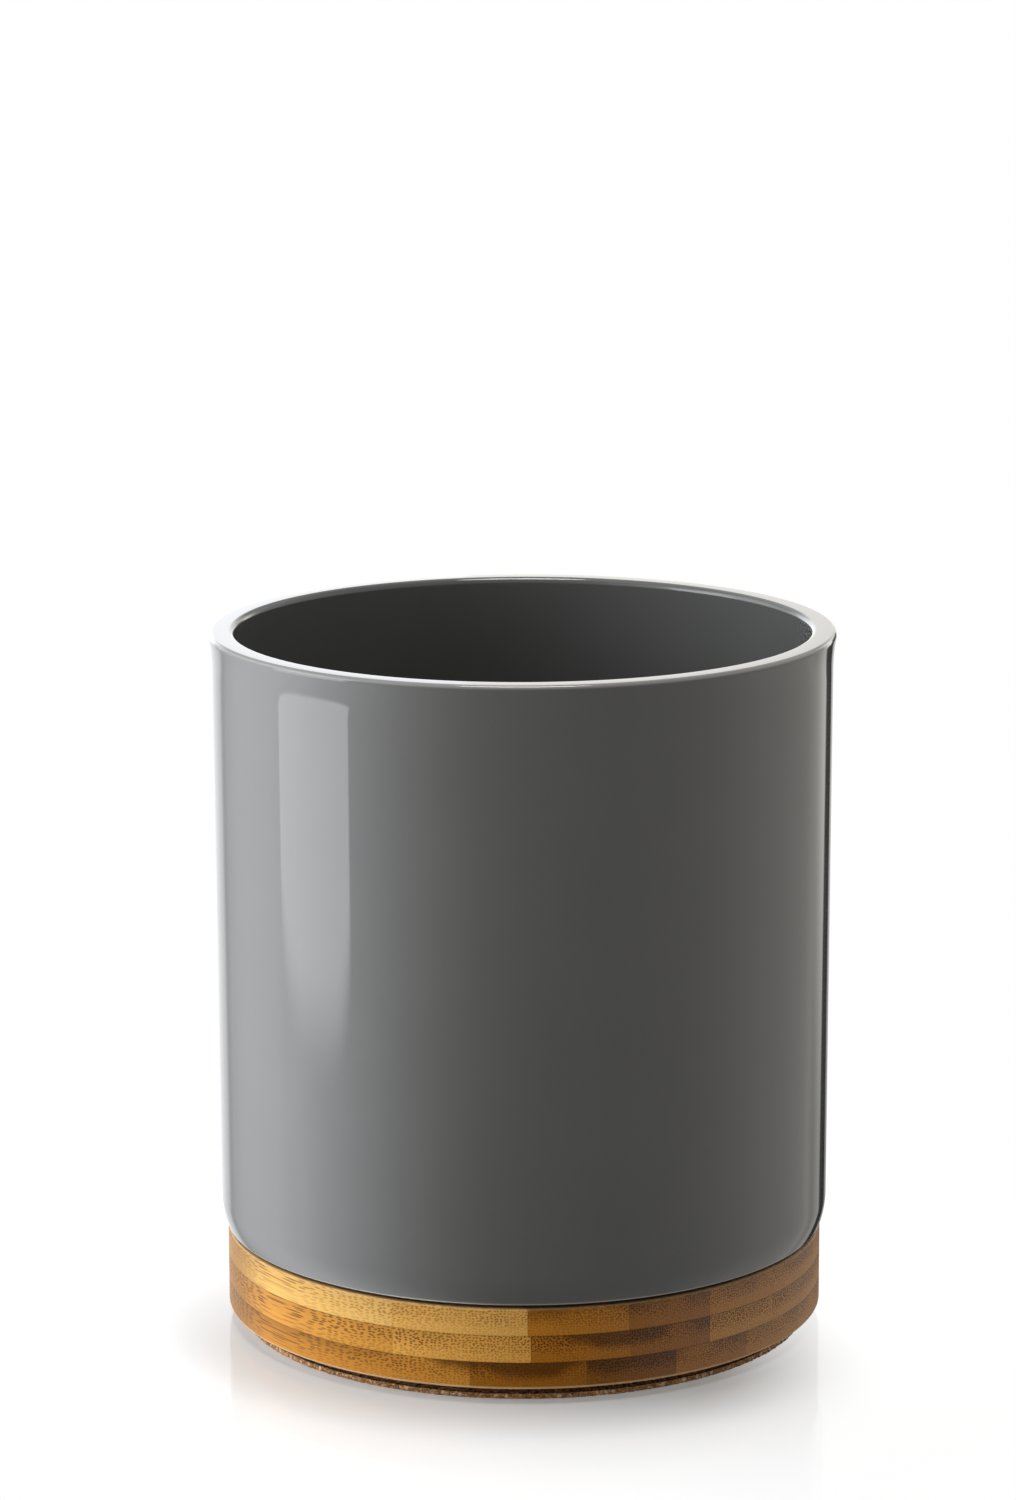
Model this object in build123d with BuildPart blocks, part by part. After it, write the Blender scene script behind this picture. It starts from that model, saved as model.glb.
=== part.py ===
"""A glazed ceramic utensil crock that sits in a round bamboo base, which turns on a ball bearing over
a cork-faced foot. Millimetres, +Z up, origin at the centre of the cork's underside."""

import os
from math import atan2, degrees, sqrt

from build123d import *

# Ceramic crock
crock_radius = 80.0
crock_wall = 5.9
crock_wall_draft = 0.5
crock_body_height = 157.2
crock_floor_thickness = 8.0
crock_floor_rounding = 10.0
crock_seam_gap = 1.0
crock_lower_curve_radius = 20.0
crock_lower_curve_height = 7.3
crock_lower_edge_rounding = 0.6
foot_ring_inset = 10.0
foot_ring_width = 8.0
foot_ring_rounding = 0.8
foot_hollow_depth = 1.6
rim_flare = 1.1
rim_flare_height = 10.0
rim_outer_rounding = 1.2
rim_inner_rounding = 1.6

# Cork pad and steel foot plate
cork_inset = 3.7
cork_thickness = 1.5
cork_edge_rounding = 0.3
foot_plate_inset = 4.3
foot_plate_thickness = 1.8
under_gap = 0.55

# Bearing: pressed races, balls and cage
race_thickness = 1.0
race_ridge_rise = 1.75
race_ridge_land = 1.2
ball_diameter = 5.556
ball_pitch_inset = 16.0
ball_count = 16
ball_play = 0.02
groove_clearance = 0.12
cage_thickness = 1.2
cage_width = 8.4
cage_pocket_clearance = 0.1

# Bearing: eyelet and washer at the hub
eyelet_radius = 5.0
eyelet_wall = 1.2
eyelet_flange_width = 2.5
eyelet_flange_thickness = 0.8
eyelet_running_clearance = 0.08
eyelet_end_play = 0.1
hub_washer_width = 4.0

# Fasteners of the two races
fastener_count = 4
fastener_clearance = 0.05
rivet_radius = 1.6
rivet_head_radius = 2.8
rivet_head_height = 1.0
rivet_sink_radius = 2.4
rivet_sink_depth = 0.7
screw_radius = 1.5
screw_head_radius = 2.9
screw_head_height = 1.8
screw_head_rounding = 0.8
screw_point_length = 3.0
screw_slot_width = 0.7
screw_slot_depth = 0.9
screw_slot_length = 3.2
screw_tip_cover = 0.65
pilot_overrun = 0.3
driver_hole_radius = 3.6

# Bamboo base and the pads in its seat
bamboo_inset = 2.0
bamboo_board_thickness = 6.95
bamboo_lower_chamfer = 0.5
bamboo_upper_rounding = 0.6
pocket_wall = 20.0
pocket_clearance = 4.0
seat_depth = 3.0
seat_clearance = 0.8
seat_pad_radius = 3.4
seat_pad_thickness = 1.0
seat_pad_count = 4

# Heights, from the surface that the cork stands on
foot_plate_bottom = cork_thickness
foot_plate_top = foot_plate_bottom + foot_plate_thickness
bearing_height = 2 * race_thickness + ball_diameter + 2 * ball_play
bearing_top = foot_plate_top + bearing_height
bearing_middle = foot_plate_top + bearing_height / 2
bamboo_bottom = foot_plate_top + under_gap
middle_board_bottom = bearing_top
top_board_bottom = middle_board_bottom + bamboo_board_thickness
bamboo_top = top_board_bottom + bamboo_board_thickness
seat_floor = bamboo_top - seat_depth
foot_ring_bottom = seat_floor + seat_pad_thickness
crock_underside = foot_ring_bottom + foot_hollow_depth
crock_floor = crock_underside + crock_floor_thickness
crock_bottom = bamboo_top + crock_seam_gap
crock_top = crock_bottom + crock_body_height

# Radii that follow from the crock's, from the outside in
bamboo_radius = crock_radius - bamboo_inset
cork_radius = bamboo_radius - cork_inset
foot_plate_radius = cork_radius - foot_plate_inset
pocket_radius = bamboo_radius - pocket_wall
race_radius = pocket_radius - pocket_clearance
ball_pitch_radius = race_radius - ball_pitch_inset
foot_ring_radius = crock_radius - foot_ring_inset
foot_ring_bore_radius = foot_ring_radius - foot_ring_width
seat_radius = foot_ring_radius + seat_clearance
seat_pad_circle_radius = foot_ring_radius - foot_ring_width / 2
crock_bore_radius = crock_radius - crock_wall
lower_curve_inset = crock_lower_curve_radius - sqrt(crock_lower_curve_radius**2 - crock_lower_curve_height**2)
lower_wall_radius = crock_radius - crock_wall_draft
crock_edge_radius = lower_wall_radius - lower_curve_inset
rim_radius = crock_radius + rim_flare

# Sizes of the races that follow from the balls and the sheet
groove_radius = ball_diameter / 2 + groove_clearance
groove_half_width = sqrt(groove_radius**2 - (groove_radius - race_ridge_rise) ** 2)
back_radius = groove_radius + race_thickness
back_half_width = sqrt(back_radius**2 - (back_radius - race_ridge_rise) ** 2)
step_inner_radius = ball_pitch_radius + back_half_width + race_ridge_land
step_outer_radius = step_inner_radius + race_thickness
fastener_circle_radius = (step_outer_radius + race_radius) / 2
lower_web_top = foot_plate_top + race_ridge_rise + race_thickness
upper_web_bottom = bearing_top - race_ridge_rise - race_thickness
upper_web_top = bearing_top - race_ridge_rise

# Angles and lengths of the fasteners
screw_start_angle = 360 / fastener_count / 2
rivet_sink_angle = 2 * degrees(atan2(rivet_sink_radius - rivet_radius, rivet_sink_depth))
screw_hole_radius = screw_radius + fastener_clearance
screw_tip = top_board_bottom - screw_tip_cover
pilot_depth = bamboo_board_thickness - screw_tip_cover + pilot_overrun


def nearest(vertices, corner):
    """The vertex of a profile that lies nearest to the given corner."""
    return vertices.sort_by_distance(corner)[0]


def finish(piece, name):
    """Label a finished piece and write it."""
    piece.part.label = name
    export_step(piece.part, f"parts/{name}.step")


def pressed_race(mount_face, hub_radius):
    """A pressed race: flange, step, ball groove and web, standing on a plane whose Y points inward."""
    ridge = race_ridge_rise + race_thickness
    with BuildPart() as race:
        with BuildSketch(mount_face):
            with BuildLine():
                Polyline(
                    (ball_pitch_radius + back_half_width, race_ridge_rise),
                    (step_inner_radius, race_ridge_rise),
                    (step_inner_radius, 0),
                    (race_radius, 0),
                    (race_radius, race_thickness),
                    (step_outer_radius, race_thickness),
                    (step_outer_radius, ridge),
                    (ball_pitch_radius + groove_half_width, ridge),
                )
                ThreePointArc(
                    (ball_pitch_radius + groove_half_width, ridge),
                    (ball_pitch_radius, race_thickness),
                    (ball_pitch_radius - groove_half_width, ridge),
                )
                Polyline(
                    (ball_pitch_radius - groove_half_width, ridge),
                    (hub_radius, ridge),
                    (hub_radius, race_ridge_rise),
                    (ball_pitch_radius - back_half_width, race_ridge_rise),
                )
                ThreePointArc(
                    (ball_pitch_radius - back_half_width, race_ridge_rise),
                    (ball_pitch_radius, 0),
                    (ball_pitch_radius + back_half_width, race_ridge_rise),
                )
            make_face()
        revolve(axis=Axis.Z)
    return race


os.makedirs("parts", exist_ok=True)

# Cork pad, glued under the foot plate
with BuildPart() as cork_pad:
    with BuildSketch():
        Circle(cork_radius)
    extrude(amount=cork_thickness)
    fillet(cork_pad.edges(), cork_edge_rounding)
finish(cork_pad, "cork_pad")

# Foot plate, countersunk from below for the rivets, with holes that a screwdriver reaches through
underside = Plane(origin=(0, 0, foot_plate_bottom), x_dir=(1, 0, 0), z_dir=(0, 0, -1))
with BuildPart() as foot_plate:
    with BuildSketch(Plane.XY.offset(foot_plate_bottom)):
        Circle(foot_plate_radius)
        with PolarLocations(fastener_circle_radius, fastener_count, start_angle=screw_start_angle):
            Circle(driver_hole_radius, mode=Mode.SUBTRACT)
    extrude(amount=foot_plate_thickness)
    with Locations(underside):
        with PolarLocations(fastener_circle_radius, fastener_count):
            CounterSinkHole(
                rivet_radius + fastener_clearance,
                rivet_sink_radius + fastener_clearance,
                foot_plate_thickness,
                rivet_sink_angle,
            )
finish(foot_plate, "foot_plate")

# Lower race, riveted to the foot plate
lower_face = Plane(origin=(0, 0, foot_plate_top), x_dir=(1, 0, 0), z_dir=(0, -1, 0))
lower_blank = pressed_race(lower_face, eyelet_radius + fastener_clearance)
with BuildPart() as bearing_lower_race:
    add(lower_blank.part)
    with BuildSketch(Plane.XY.offset(foot_plate_top)):
        with PolarLocations(fastener_circle_radius, fastener_count):
            Circle(rivet_radius + fastener_clearance)
        with PolarLocations(fastener_circle_radius, fastener_count, start_angle=screw_start_angle):
            Circle(driver_hole_radius)
    extrude(amount=race_thickness, mode=Mode.SUBTRACT)
finish(bearing_lower_race, "bearing_lower_race")

# Upper race, the same pressing turned over, screwed to the bamboo
upper_face = Plane(origin=(0, 0, bearing_top), x_dir=(1, 0, 0), z_dir=(0, 1, 0))
upper_blank = pressed_race(upper_face, eyelet_radius + eyelet_running_clearance)
with BuildPart() as bearing_upper_race:
    add(upper_blank.part)
    with BuildSketch(Plane.XY.offset(bearing_top)):
        with PolarLocations(fastener_circle_radius, fastener_count, start_angle=screw_start_angle):
            Circle(screw_hole_radius)
    extrude(amount=-race_thickness, mode=Mode.SUBTRACT)
finish(bearing_upper_race, "bearing_upper_race")

# Rivets, domed above the lower race and flush below the foot plate
with BuildPart() as one_rivet:
    with BuildSketch(Plane.XZ):
        with BuildLine():
            Polyline(
                (0, foot_plate_bottom),
                (rivet_sink_radius, foot_plate_bottom),
                (rivet_radius, foot_plate_bottom + rivet_sink_depth),
                (rivet_radius, foot_plate_top + race_thickness),
                (rivet_head_radius, foot_plate_top + race_thickness),
            )
            TangentArc(
                (0, foot_plate_top + race_thickness + rivet_head_height),
                (rivet_head_radius, foot_plate_top + race_thickness),
                tangent=(1, 0),
            )
            Line((0, foot_plate_top + race_thickness + rivet_head_height), (0, foot_plate_bottom))
        make_face()
    revolve(axis=Axis.Z)
with BuildPart() as foot_rivets:
    with PolarLocations(fastener_circle_radius, fastener_count):
        add(one_rivet.part)
finish(foot_rivets, "foot_rivets")

# Wood screws, driven up through the upper race into the middle board
with BuildPart() as one_screw:
    head_top = bearing_top - race_thickness
    head_bottom = head_top - screw_head_height
    with BuildSketch(Plane.XZ):
        with BuildLine():
            Polyline(
                (0, head_bottom),
                (screw_head_radius, head_bottom),
                (screw_head_radius, head_top),
                (screw_radius, head_top),
                (screw_radius, screw_tip - screw_point_length),
                (0, screw_tip),
                close=True,
            )
        profile = make_face()
        fillet(nearest(profile.vertices(), (screw_head_radius, head_bottom)), screw_head_rounding)
    revolve(axis=Axis.Z)
    with BuildSketch(Plane.XY.offset(head_bottom)):
        Rectangle(screw_slot_length, screw_slot_width)
        Rectangle(screw_slot_width, screw_slot_length)
    extrude(amount=screw_slot_depth, mode=Mode.SUBTRACT)
with BuildPart() as race_screws:
    with PolarLocations(fastener_circle_radius, fastener_count, start_angle=screw_start_angle):
        add(one_screw.part)
finish(race_screws, "race_screws")

# Balls and the flat cage that spaces them
with BuildPart() as bearing_balls:
    with Locations(Plane.XY.offset(bearing_middle)):
        with PolarLocations(ball_pitch_radius, ball_count):
            Sphere(ball_diameter / 2)
finish(bearing_balls, "bearing_balls")

with BuildPart() as ball_cage:
    with BuildSketch(Plane.XY.offset(bearing_middle - cage_thickness / 2)):
        Circle(ball_pitch_radius + cage_width / 2)
        Circle(ball_pitch_radius - cage_width / 2, mode=Mode.SUBTRACT)
        with PolarLocations(ball_pitch_radius, ball_count):
            Circle(ball_diameter / 2 + cage_pocket_clearance, mode=Mode.SUBTRACT)
    extrude(amount=cage_thickness)
finish(ball_cage, "ball_cage")

# Hollow eyelet, flanged under the lower race's web and over the upper one's
with BuildPart() as centre_eyelet:
    lower_flange_bottom = foot_plate_top + race_ridge_rise - eyelet_flange_thickness
    upper_flange_bottom = upper_web_top + eyelet_end_play
    eyelet_top = upper_flange_bottom + eyelet_flange_thickness
    with BuildSketch(Plane.XY.offset(lower_flange_bottom)):
        Circle(eyelet_radius)
        Circle(eyelet_radius - eyelet_wall, mode=Mode.SUBTRACT)
    extrude(amount=eyelet_top - lower_flange_bottom)
    for flange_bottom in (lower_flange_bottom, upper_flange_bottom):
        with BuildSketch(Plane.XY.offset(flange_bottom)):
            Circle(eyelet_radius + eyelet_flange_width)
            Circle(eyelet_radius - eyelet_wall, mode=Mode.SUBTRACT)
        extrude(amount=eyelet_flange_thickness)
finish(centre_eyelet, "centre_eyelet")

# Washer between the two webs
with BuildPart() as hub_washer:
    with BuildSketch(Plane.XY.offset(lower_web_top)):
        Circle(eyelet_radius + fastener_clearance + hub_washer_width)
        Circle(eyelet_radius + fastener_clearance, mode=Mode.SUBTRACT)
    extrude(amount=upper_web_bottom - eyelet_end_play - lower_web_top)
finish(hub_washer, "hub_washer")

# Bottom board, a ring around the bearing
with BuildPart() as bamboo_bottom_layer:
    with BuildSketch(Plane.XY.offset(bamboo_bottom)):
        Circle(bamboo_radius)
    extrude(amount=middle_board_bottom - bamboo_bottom)
    outer_edge = bamboo_bottom_layer.edges().group_by(Axis.Z)[0]
    chamfer(outer_edge, bamboo_lower_chamfer)
    with BuildSketch(Plane.XY.offset(bamboo_bottom)):
        Circle(pocket_radius)
    extrude(amount=middle_board_bottom - bamboo_bottom, mode=Mode.SUBTRACT)
finish(bamboo_bottom_layer, "bamboo_bottom_layer")

# Middle board, with the screws' pilot holes
with BuildPart() as bamboo_middle_layer:
    with BuildSketch(Plane.XY.offset(middle_board_bottom)):
        Circle(bamboo_radius)
    extrude(amount=bamboo_board_thickness)
    with BuildSketch(Plane.XY.offset(middle_board_bottom)):
        with PolarLocations(fastener_circle_radius, fastener_count, start_angle=screw_start_angle):
            Circle(screw_hole_radius)
    extrude(amount=pilot_depth, mode=Mode.SUBTRACT)
finish(bamboo_middle_layer, "bamboo_middle_layer")

# Top board, with the round seat that takes the crock's foot ring
with BuildPart() as bamboo_top_layer:
    with BuildSketch(Plane.XY.offset(top_board_bottom)):
        Circle(bamboo_radius)
    extrude(amount=bamboo_board_thickness)
    outer_edge = bamboo_top_layer.edges().group_by(Axis.Z)[-1]
    fillet(outer_edge, bamboo_upper_rounding)
    with BuildSketch(Plane.XY.offset(seat_floor)):
        Circle(seat_radius)
    extrude(amount=seat_depth, mode=Mode.SUBTRACT)
finish(bamboo_top_layer, "bamboo_top_layer")

# Soft pads in the seat, under the crock's foot ring
with BuildPart() as seat_pads:
    with BuildSketch(Plane.XY.offset(seat_floor)):
        with PolarLocations(seat_pad_circle_radius, seat_pad_count):
            Circle(seat_pad_radius)
    extrude(amount=seat_pad_thickness)
finish(seat_pads, "seat_pads")

# Crock: foot ring, small inward curve at the bottom, wall with a slight draft and flared rounded rim
with BuildPart() as ceramic_crock:
    wall_low = (lower_wall_radius, crock_bottom + crock_lower_curve_height)
    wall_high = (crock_radius, crock_top - rim_flare_height)
    with BuildSketch(Plane.XZ) as crock_section:
        with BuildLine():
            Polyline(
                (0, crock_floor),
                (0, crock_underside),
                (foot_ring_bore_radius, crock_underside),
                (foot_ring_bore_radius, foot_ring_bottom),
                (foot_ring_radius, foot_ring_bottom),
                (foot_ring_radius, crock_bottom),
                (crock_edge_radius, crock_bottom),
            )
            TangentArc(wall_low, (crock_edge_radius, crock_bottom), tangent=(0, -1))
            Line(wall_low, wall_high)
            TangentArc(wall_high, (rim_radius, crock_top), tangent=(Vector(*wall_high) - Vector(*wall_low)))
            Polyline(
                (rim_radius, crock_top),
                (crock_bore_radius, crock_top),
                (crock_bore_radius, crock_floor),
                (0, crock_floor),
            )
        make_face()
        corners_and_roundings = [
            ((foot_ring_bore_radius, foot_ring_bottom), foot_ring_rounding),
            ((foot_ring_radius, foot_ring_bottom), foot_ring_rounding),
            ((crock_edge_radius, crock_bottom), crock_lower_edge_rounding),
            ((rim_radius, crock_top), rim_outer_rounding),
            ((crock_bore_radius, crock_top), rim_inner_rounding),
            ((crock_bore_radius, crock_floor), crock_floor_rounding),
        ]
        for corner, rounding in corners_and_roundings:
            fillet(nearest(crock_section.vertices(), corner), rounding)
    revolve(axis=Axis.Z)
finish(ceramic_crock, "ceramic_crock")
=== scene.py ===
"""Looks of the utensil crock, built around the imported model: a glazed jar on a round bamboo base that
turns over a cork foot, on a pale floor in soft studio light. Metres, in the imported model's frame."""

from math import asin, atan2, cos, degrees, hypot, pi, radians, sin, tau

import bpy
from mathutils import Matrix, Vector, noise


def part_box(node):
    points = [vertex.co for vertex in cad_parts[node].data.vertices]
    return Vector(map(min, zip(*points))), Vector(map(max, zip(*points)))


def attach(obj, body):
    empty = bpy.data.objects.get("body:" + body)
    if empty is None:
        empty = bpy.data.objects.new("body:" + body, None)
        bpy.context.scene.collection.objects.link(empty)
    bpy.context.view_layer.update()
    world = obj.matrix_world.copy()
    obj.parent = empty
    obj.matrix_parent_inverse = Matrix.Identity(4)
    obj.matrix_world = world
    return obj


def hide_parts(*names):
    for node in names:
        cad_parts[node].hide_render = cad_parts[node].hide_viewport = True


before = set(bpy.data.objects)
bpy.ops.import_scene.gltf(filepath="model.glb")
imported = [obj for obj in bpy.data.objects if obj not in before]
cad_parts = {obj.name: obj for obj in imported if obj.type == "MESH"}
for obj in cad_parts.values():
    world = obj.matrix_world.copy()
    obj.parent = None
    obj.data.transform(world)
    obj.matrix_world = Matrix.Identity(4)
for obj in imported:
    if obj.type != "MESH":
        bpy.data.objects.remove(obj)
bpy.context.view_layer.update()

mm = 0.001
white = (1, 1, 1, 1)

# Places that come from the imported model
crock_low, crock_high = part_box("ceramic_crock")
_, cork_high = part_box("cork_pad")
bottom_board_low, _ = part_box("bamboo_bottom_layer")
_, top_board_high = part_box("bamboo_top_layer")
crock_top = crock_high.z
foot_ring_bottom = crock_low.z
cork_radius = cork_high.x
cork_top = cork_high.z
bamboo_bottom = bottom_board_low.z
bamboo_top = top_board_high.z

# Crock, the same sizes as its solid
crock_radius = 80 * mm
crock_wall = 5.9 * mm
crock_wall_draft = 0.5 * mm
rim_flare = 1.1 * mm
rim_flare_height = 10 * mm
rim_outer_rounding = 1.2 * mm
rim_inner_rounding = 1.6 * mm
crock_floor_thickness = 8 * mm
crock_floor_rounding = 10 * mm
crock_seam_gap = 1.0 * mm
crock_bottom = bamboo_top + crock_seam_gap
lower_curve_radius = 20 * mm
lower_curve_height = 7.3 * mm
lower_edge_rounding = 0.6 * mm
foot_ring_inset = 10 * mm
foot_ring_width = 8 * mm
foot_ring_rounding = 0.8 * mm
foot_hollow_depth = 1.6 * mm

# Crock mesh: the steps around it and along each stretch of its section
crock_segments = 288
foot_hollow_steps = 6
foot_ring_steps = 6
lower_edge_steps = 8
lower_curve_steps = 10
wall_steps = 44
flare_steps = 14
rim_outer_steps = 22
rim_inner_steps = 18
floor_corner_steps = 16
floor_steps = 12
sharp_edge_angle = radians(40)
glaze_wave_depth = 0.012 * mm
glaze_wave_length = 45 * mm
bare_clay_height = 0.9 * mm

# Cork pad mesh
cork_edge_rounding = 0.3 * mm
cork_segments = 900
cork_underside_rings = 3
cork_edge_steps = 3
cork_side_rings = 9
cork_top_rings = 6
cork_top_band = 6 * mm
cork_grain_size = 1.0 * mm
cork_grain_depth = 0.5 * mm
cork_crack_width = 0.35
cork_crack_share = 0.55
cork_lump_size = 0.7 * mm
cork_lump_share = 0.6
cork_top_relief_width = 4 * mm
cork_top_relief_share = 0.6


class Tree:
    """Adds nodes to one material or world and links them."""

    def __init__(self, owner):
        owner.use_nodes = True
        self.tree = owner.node_tree
        self.tree.nodes.clear()

    def add(self, kind, inputs, **settings):
        """A node with its settings made and its inputs set or linked."""
        node = self.tree.nodes.new(kind)
        for name, value in settings.items():
            setattr(node, name, value)
        for name, value in inputs.items():
            if isinstance(value, bpy.types.NodeSocket):
                self.tree.links.new(value, node.inputs[name])
            else:
                node.inputs[name].default_value = value
        return node

    def place(self):
        """The point's place in the piece, which moves with it."""
        return self.add("ShaderNodeTexCoord", {}).outputs["Object"]

    def sum(self, kind, *values, clamp=False):
        """A Math node's result."""
        inputs = dict(enumerate(values))
        return self.add("ShaderNodeMath", inputs, operation=kind, use_clamp=clamp).outputs[0]

    def vector(self, kind, *values, result="Vector"):
        """A Vector Math node's result."""
        inputs = dict(enumerate(values))
        return self.add("ShaderNodeVectorMath", inputs, operation=kind).outputs[result]

    def parts(self, vector):
        """X, Y and Z of a vector."""
        return self.add("ShaderNodeSeparateXYZ", {0: vector}).outputs

    def join(self, x, y, z=0.0):
        """A vector of X, Y and Z."""
        return self.add("ShaderNodeCombineXYZ", {0: x, 1: y, 2: z}).outputs[0]

    def radius(self, x, y):
        """The distance from the Z axis."""
        return self.sum("SQRT", self.sum("MULTIPLY_ADD", x, x, self.sum("MULTIPLY", y, y)))

    def step(self, value, low, high, to_low=0.0, to_high=1.0):
        """A smooth step from one level to another."""
        inputs = {0: value, 1: low, 2: high, 3: to_low, 4: to_high}
        return self.add("ShaderNodeMapRange", inputs, interpolation_type="SMOOTHSTEP").outputs[0]

    def colours(self, value, stops, interpolation="LINEAR"):
        """A colour looked up between stops of (place, colour), with places from 0 to 1."""
        ramp = self.add("ShaderNodeValToRGB", {0: value})
        ramp.color_ramp.interpolation = interpolation
        elements = ramp.color_ramp.elements
        while len(elements) < len(stops):
            elements.new(1)
        for element, (place, colour) in zip(elements, stops):
            element.position = place
            element.color = (*colour, 1)
        return ramp.outputs[0]

    def curve(self, value, stops, interpolation="LINEAR"):
        """A value looked up between stops of (place, level), both in their own units."""
        low, high = stops[0][0], stops[-1][0]
        peak = max(level for _, level in stops)
        share = self.add("ShaderNodeMapRange", {0: value, 1: low, 2: high}).outputs[0]
        shares = [((place - low) / (high - low), [level / peak] * 3) for place, level in stops]
        return self.sum("MULTIPLY", self.colours(share, shares, interpolation), peak)

    def blend(self, share, first, second):
        """A colour between two colours."""
        mix = self.add("ShaderNodeMix", {0: share}, data_type="RGBA")
        for socket, value in ((mix.inputs[6], first), (mix.inputs[7], second)):
            if isinstance(value, bpy.types.NodeSocket):
                self.tree.links.new(value, socket)
            else:
                socket.default_value = (*value, 1)
        return mix.outputs[2]

    def tint(self, colour, share, weight, other):
        """A colour with another laid over it, by a share times a weight."""
        return self.blend(self.sum("MULTIPLY", share, weight), colour, other)

    def darken(self, value, share, weight):
        """A value with a share of it taken off, times a weight."""
        kept = self.sum("SUBTRACT", 1.0, self.sum("MULTIPLY", share, weight))
        return self.sum("MULTIPLY", value, kept)

    def noise(self, place, size, detail=2.0, roughness=0.5, colour=False):
        """Soft noise with features about as large as size, as a value or a colour."""
        inputs = {"Vector": place, "Scale": 1 / size, "Detail": detail, "Roughness": roughness}
        return self.add("ShaderNodeTexNoise", inputs).outputs[1 if colour else 0]

    def cells(self, place, size, feature="F1"):
        """A Voronoi texture with cells about as large as size."""
        inputs = {"Vector": place, "Scale": 1 / size}
        return self.add("ShaderNodeTexVoronoi", inputs, feature=feature).outputs

    def dots(self, place, size, evenness):
        """Distance from the nearest of many dots on a plane, in steps of size."""
        inputs = {"Vector": place, "Scale": 1 / size, "Randomness": 1 - evenness}
        return self.add("ShaderNodeTexVoronoi", inputs, voronoi_dimensions="2D").outputs["Distance"]

    def bump(self, height, depth):
        """A bump of that depth."""
        return self.add("ShaderNodeBump", {"Height": height, "Distance": depth}).outputs[0]

    def shader(self, kind, **inputs):
        """A shader; an input's name has underscores for spaces."""
        named = {name.replace("_", " "): value for name, value in inputs.items()}
        return self.add("ShaderNode" + kind, named).outputs[0]

    def mix_shaders(self, share, first, second):
        return self.add("ShaderNodeMixShader", {0: share, 1: first, 2: second}).outputs[0]

    def add_shaders(self, first, second):
        return self.add("ShaderNodeAddShader", {0: first, 1: second}).outputs[0]

    def surface(self, shader):
        self.add("ShaderNodeOutputMaterial", {"Surface": shader})

    def principled(self, **inputs):
        """A Principled shader on the surface."""
        self.surface(self.shader("BsdfPrincipled", **inputs))


def material(name):
    """A new material and its tree."""
    made = bpy.data.materials.new(name)
    return made, Tree(made)


def add_object(name, data):
    """A new object in the scene."""
    made = bpy.data.objects.new(name, data)
    bpy.context.scene.collection.objects.link(made)
    return made


def mesh_object(name, points, faces):
    """A new object in the scene, with a mesh of those points and faces."""
    mesh = bpy.data.meshes.new(name)
    mesh.from_pydata(points, [], faces)
    mesh.update()
    return add_object(name, mesh)


# From here on, the numbers of a smooth step are (from, to) where it goes from level 0 to level 1, and
# otherwise (from, to, level before, level after)

# Glaze
glaze_colours = (0.094, 0.094, 0.093), (0.106, 0.106, 0.104)
glaze_mottle_size = 22 * mm
glaze_mottle_relief = 0.01 * mm
glaze_speck_size = 1.5 * mm
glaze_speck_colour = (0.13, 0.13, 0.125)
glaze_speck_share = 0.12
# Painted highlight: a pale band over the outer edge of the rim
rim_painted_highlight_colour = (0.35, 0.34, 0.33)
rim_painted_highlight_share = 0.45
rim_painted_highlight_heights = crock_top - 1.0 * mm, crock_top - 0.5 * mm
rim_painted_highlight_radii = crock_radius - 0.5 * mm, crock_radius
# Painted highlight: a pale band along the crock's lower edge, just above the seam
crock_edge_painted_highlight_colour = (0.45, 0.44, 0.42)
crock_edge_painted_highlight_heights = crock_bottom + 0.25 * mm, crock_bottom + 0.65 * mm, 0.5, 0.0
glaze_roughness = 0.03
glaze_roughness_spread = 0.03
glaze_ior = 1.52


def glaze():
    """Glossy dark grey glaze, with painted highlights as paler bands over the rim's outer edge and along the
    lower edge.
    """
    made, tree = material("dark_grey_glaze")
    place = tree.place()
    mottle = tree.noise(place, glaze_mottle_size, detail=3)
    specks = tree.noise(place, glaze_speck_size, detail=2)
    x, y, z = tree.parts(place)
    # The pale band over the rim's outer edge is a painted highlight
    rim = tree.step(tree.radius(x, y), *rim_painted_highlight_radii)
    rim = tree.sum("MULTIPLY", tree.step(z, *rim_painted_highlight_heights), rim)
    colour = tree.blend(mottle, *glaze_colours)
    colour = tree.tint(colour, specks, glaze_speck_share, glaze_speck_colour)
    colour = tree.tint(colour, rim, rim_painted_highlight_share, rim_painted_highlight_colour)
    # The pale band along the lower edge is a painted highlight
    colour = tree.blend(tree.step(z, *crock_edge_painted_highlight_heights), colour, crock_edge_painted_highlight_colour)
    tree.principled(
        Base_Color=colour,
        Roughness=tree.sum("MULTIPLY_ADD", mottle, glaze_roughness_spread, glaze_roughness),
        IOR=glaze_ior,
        Normal=tree.bump(mottle, glaze_mottle_relief),
    )
    return made


# Bare clay
clay_colours = (0.5, 0.42, 0.32), (0.66, 0.58, 0.47)
clay_grain_size = 0.6 * mm
clay_grain_relief = 0.12 * mm
clay_stain_size = 12 * mm
clay_stain_colour = (0.42, 0.34, 0.26)
clay_stain_share = 0.4
clay_roughness = 0.85


def bare_clay():
    """Unglazed buff stoneware under the foot ring."""
    made, tree = material("bare_stoneware")
    place = tree.place()
    grain = tree.noise(place, clay_grain_size, detail=4, roughness=0.7)
    stain = tree.noise(place, clay_stain_size, detail=3)
    colour = tree.blend(grain, *clay_colours)
    colour = tree.tint(colour, stain, clay_stain_share, clay_stain_colour)
    tree.principled(Base_Color=colour, Roughness=clay_roughness, Normal=tree.bump(grain, clay_grain_relief))
    return made


# Bamboo: the fibres run across the front from the right, at this angle from Y
bamboo_turn = radians(35)

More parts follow.
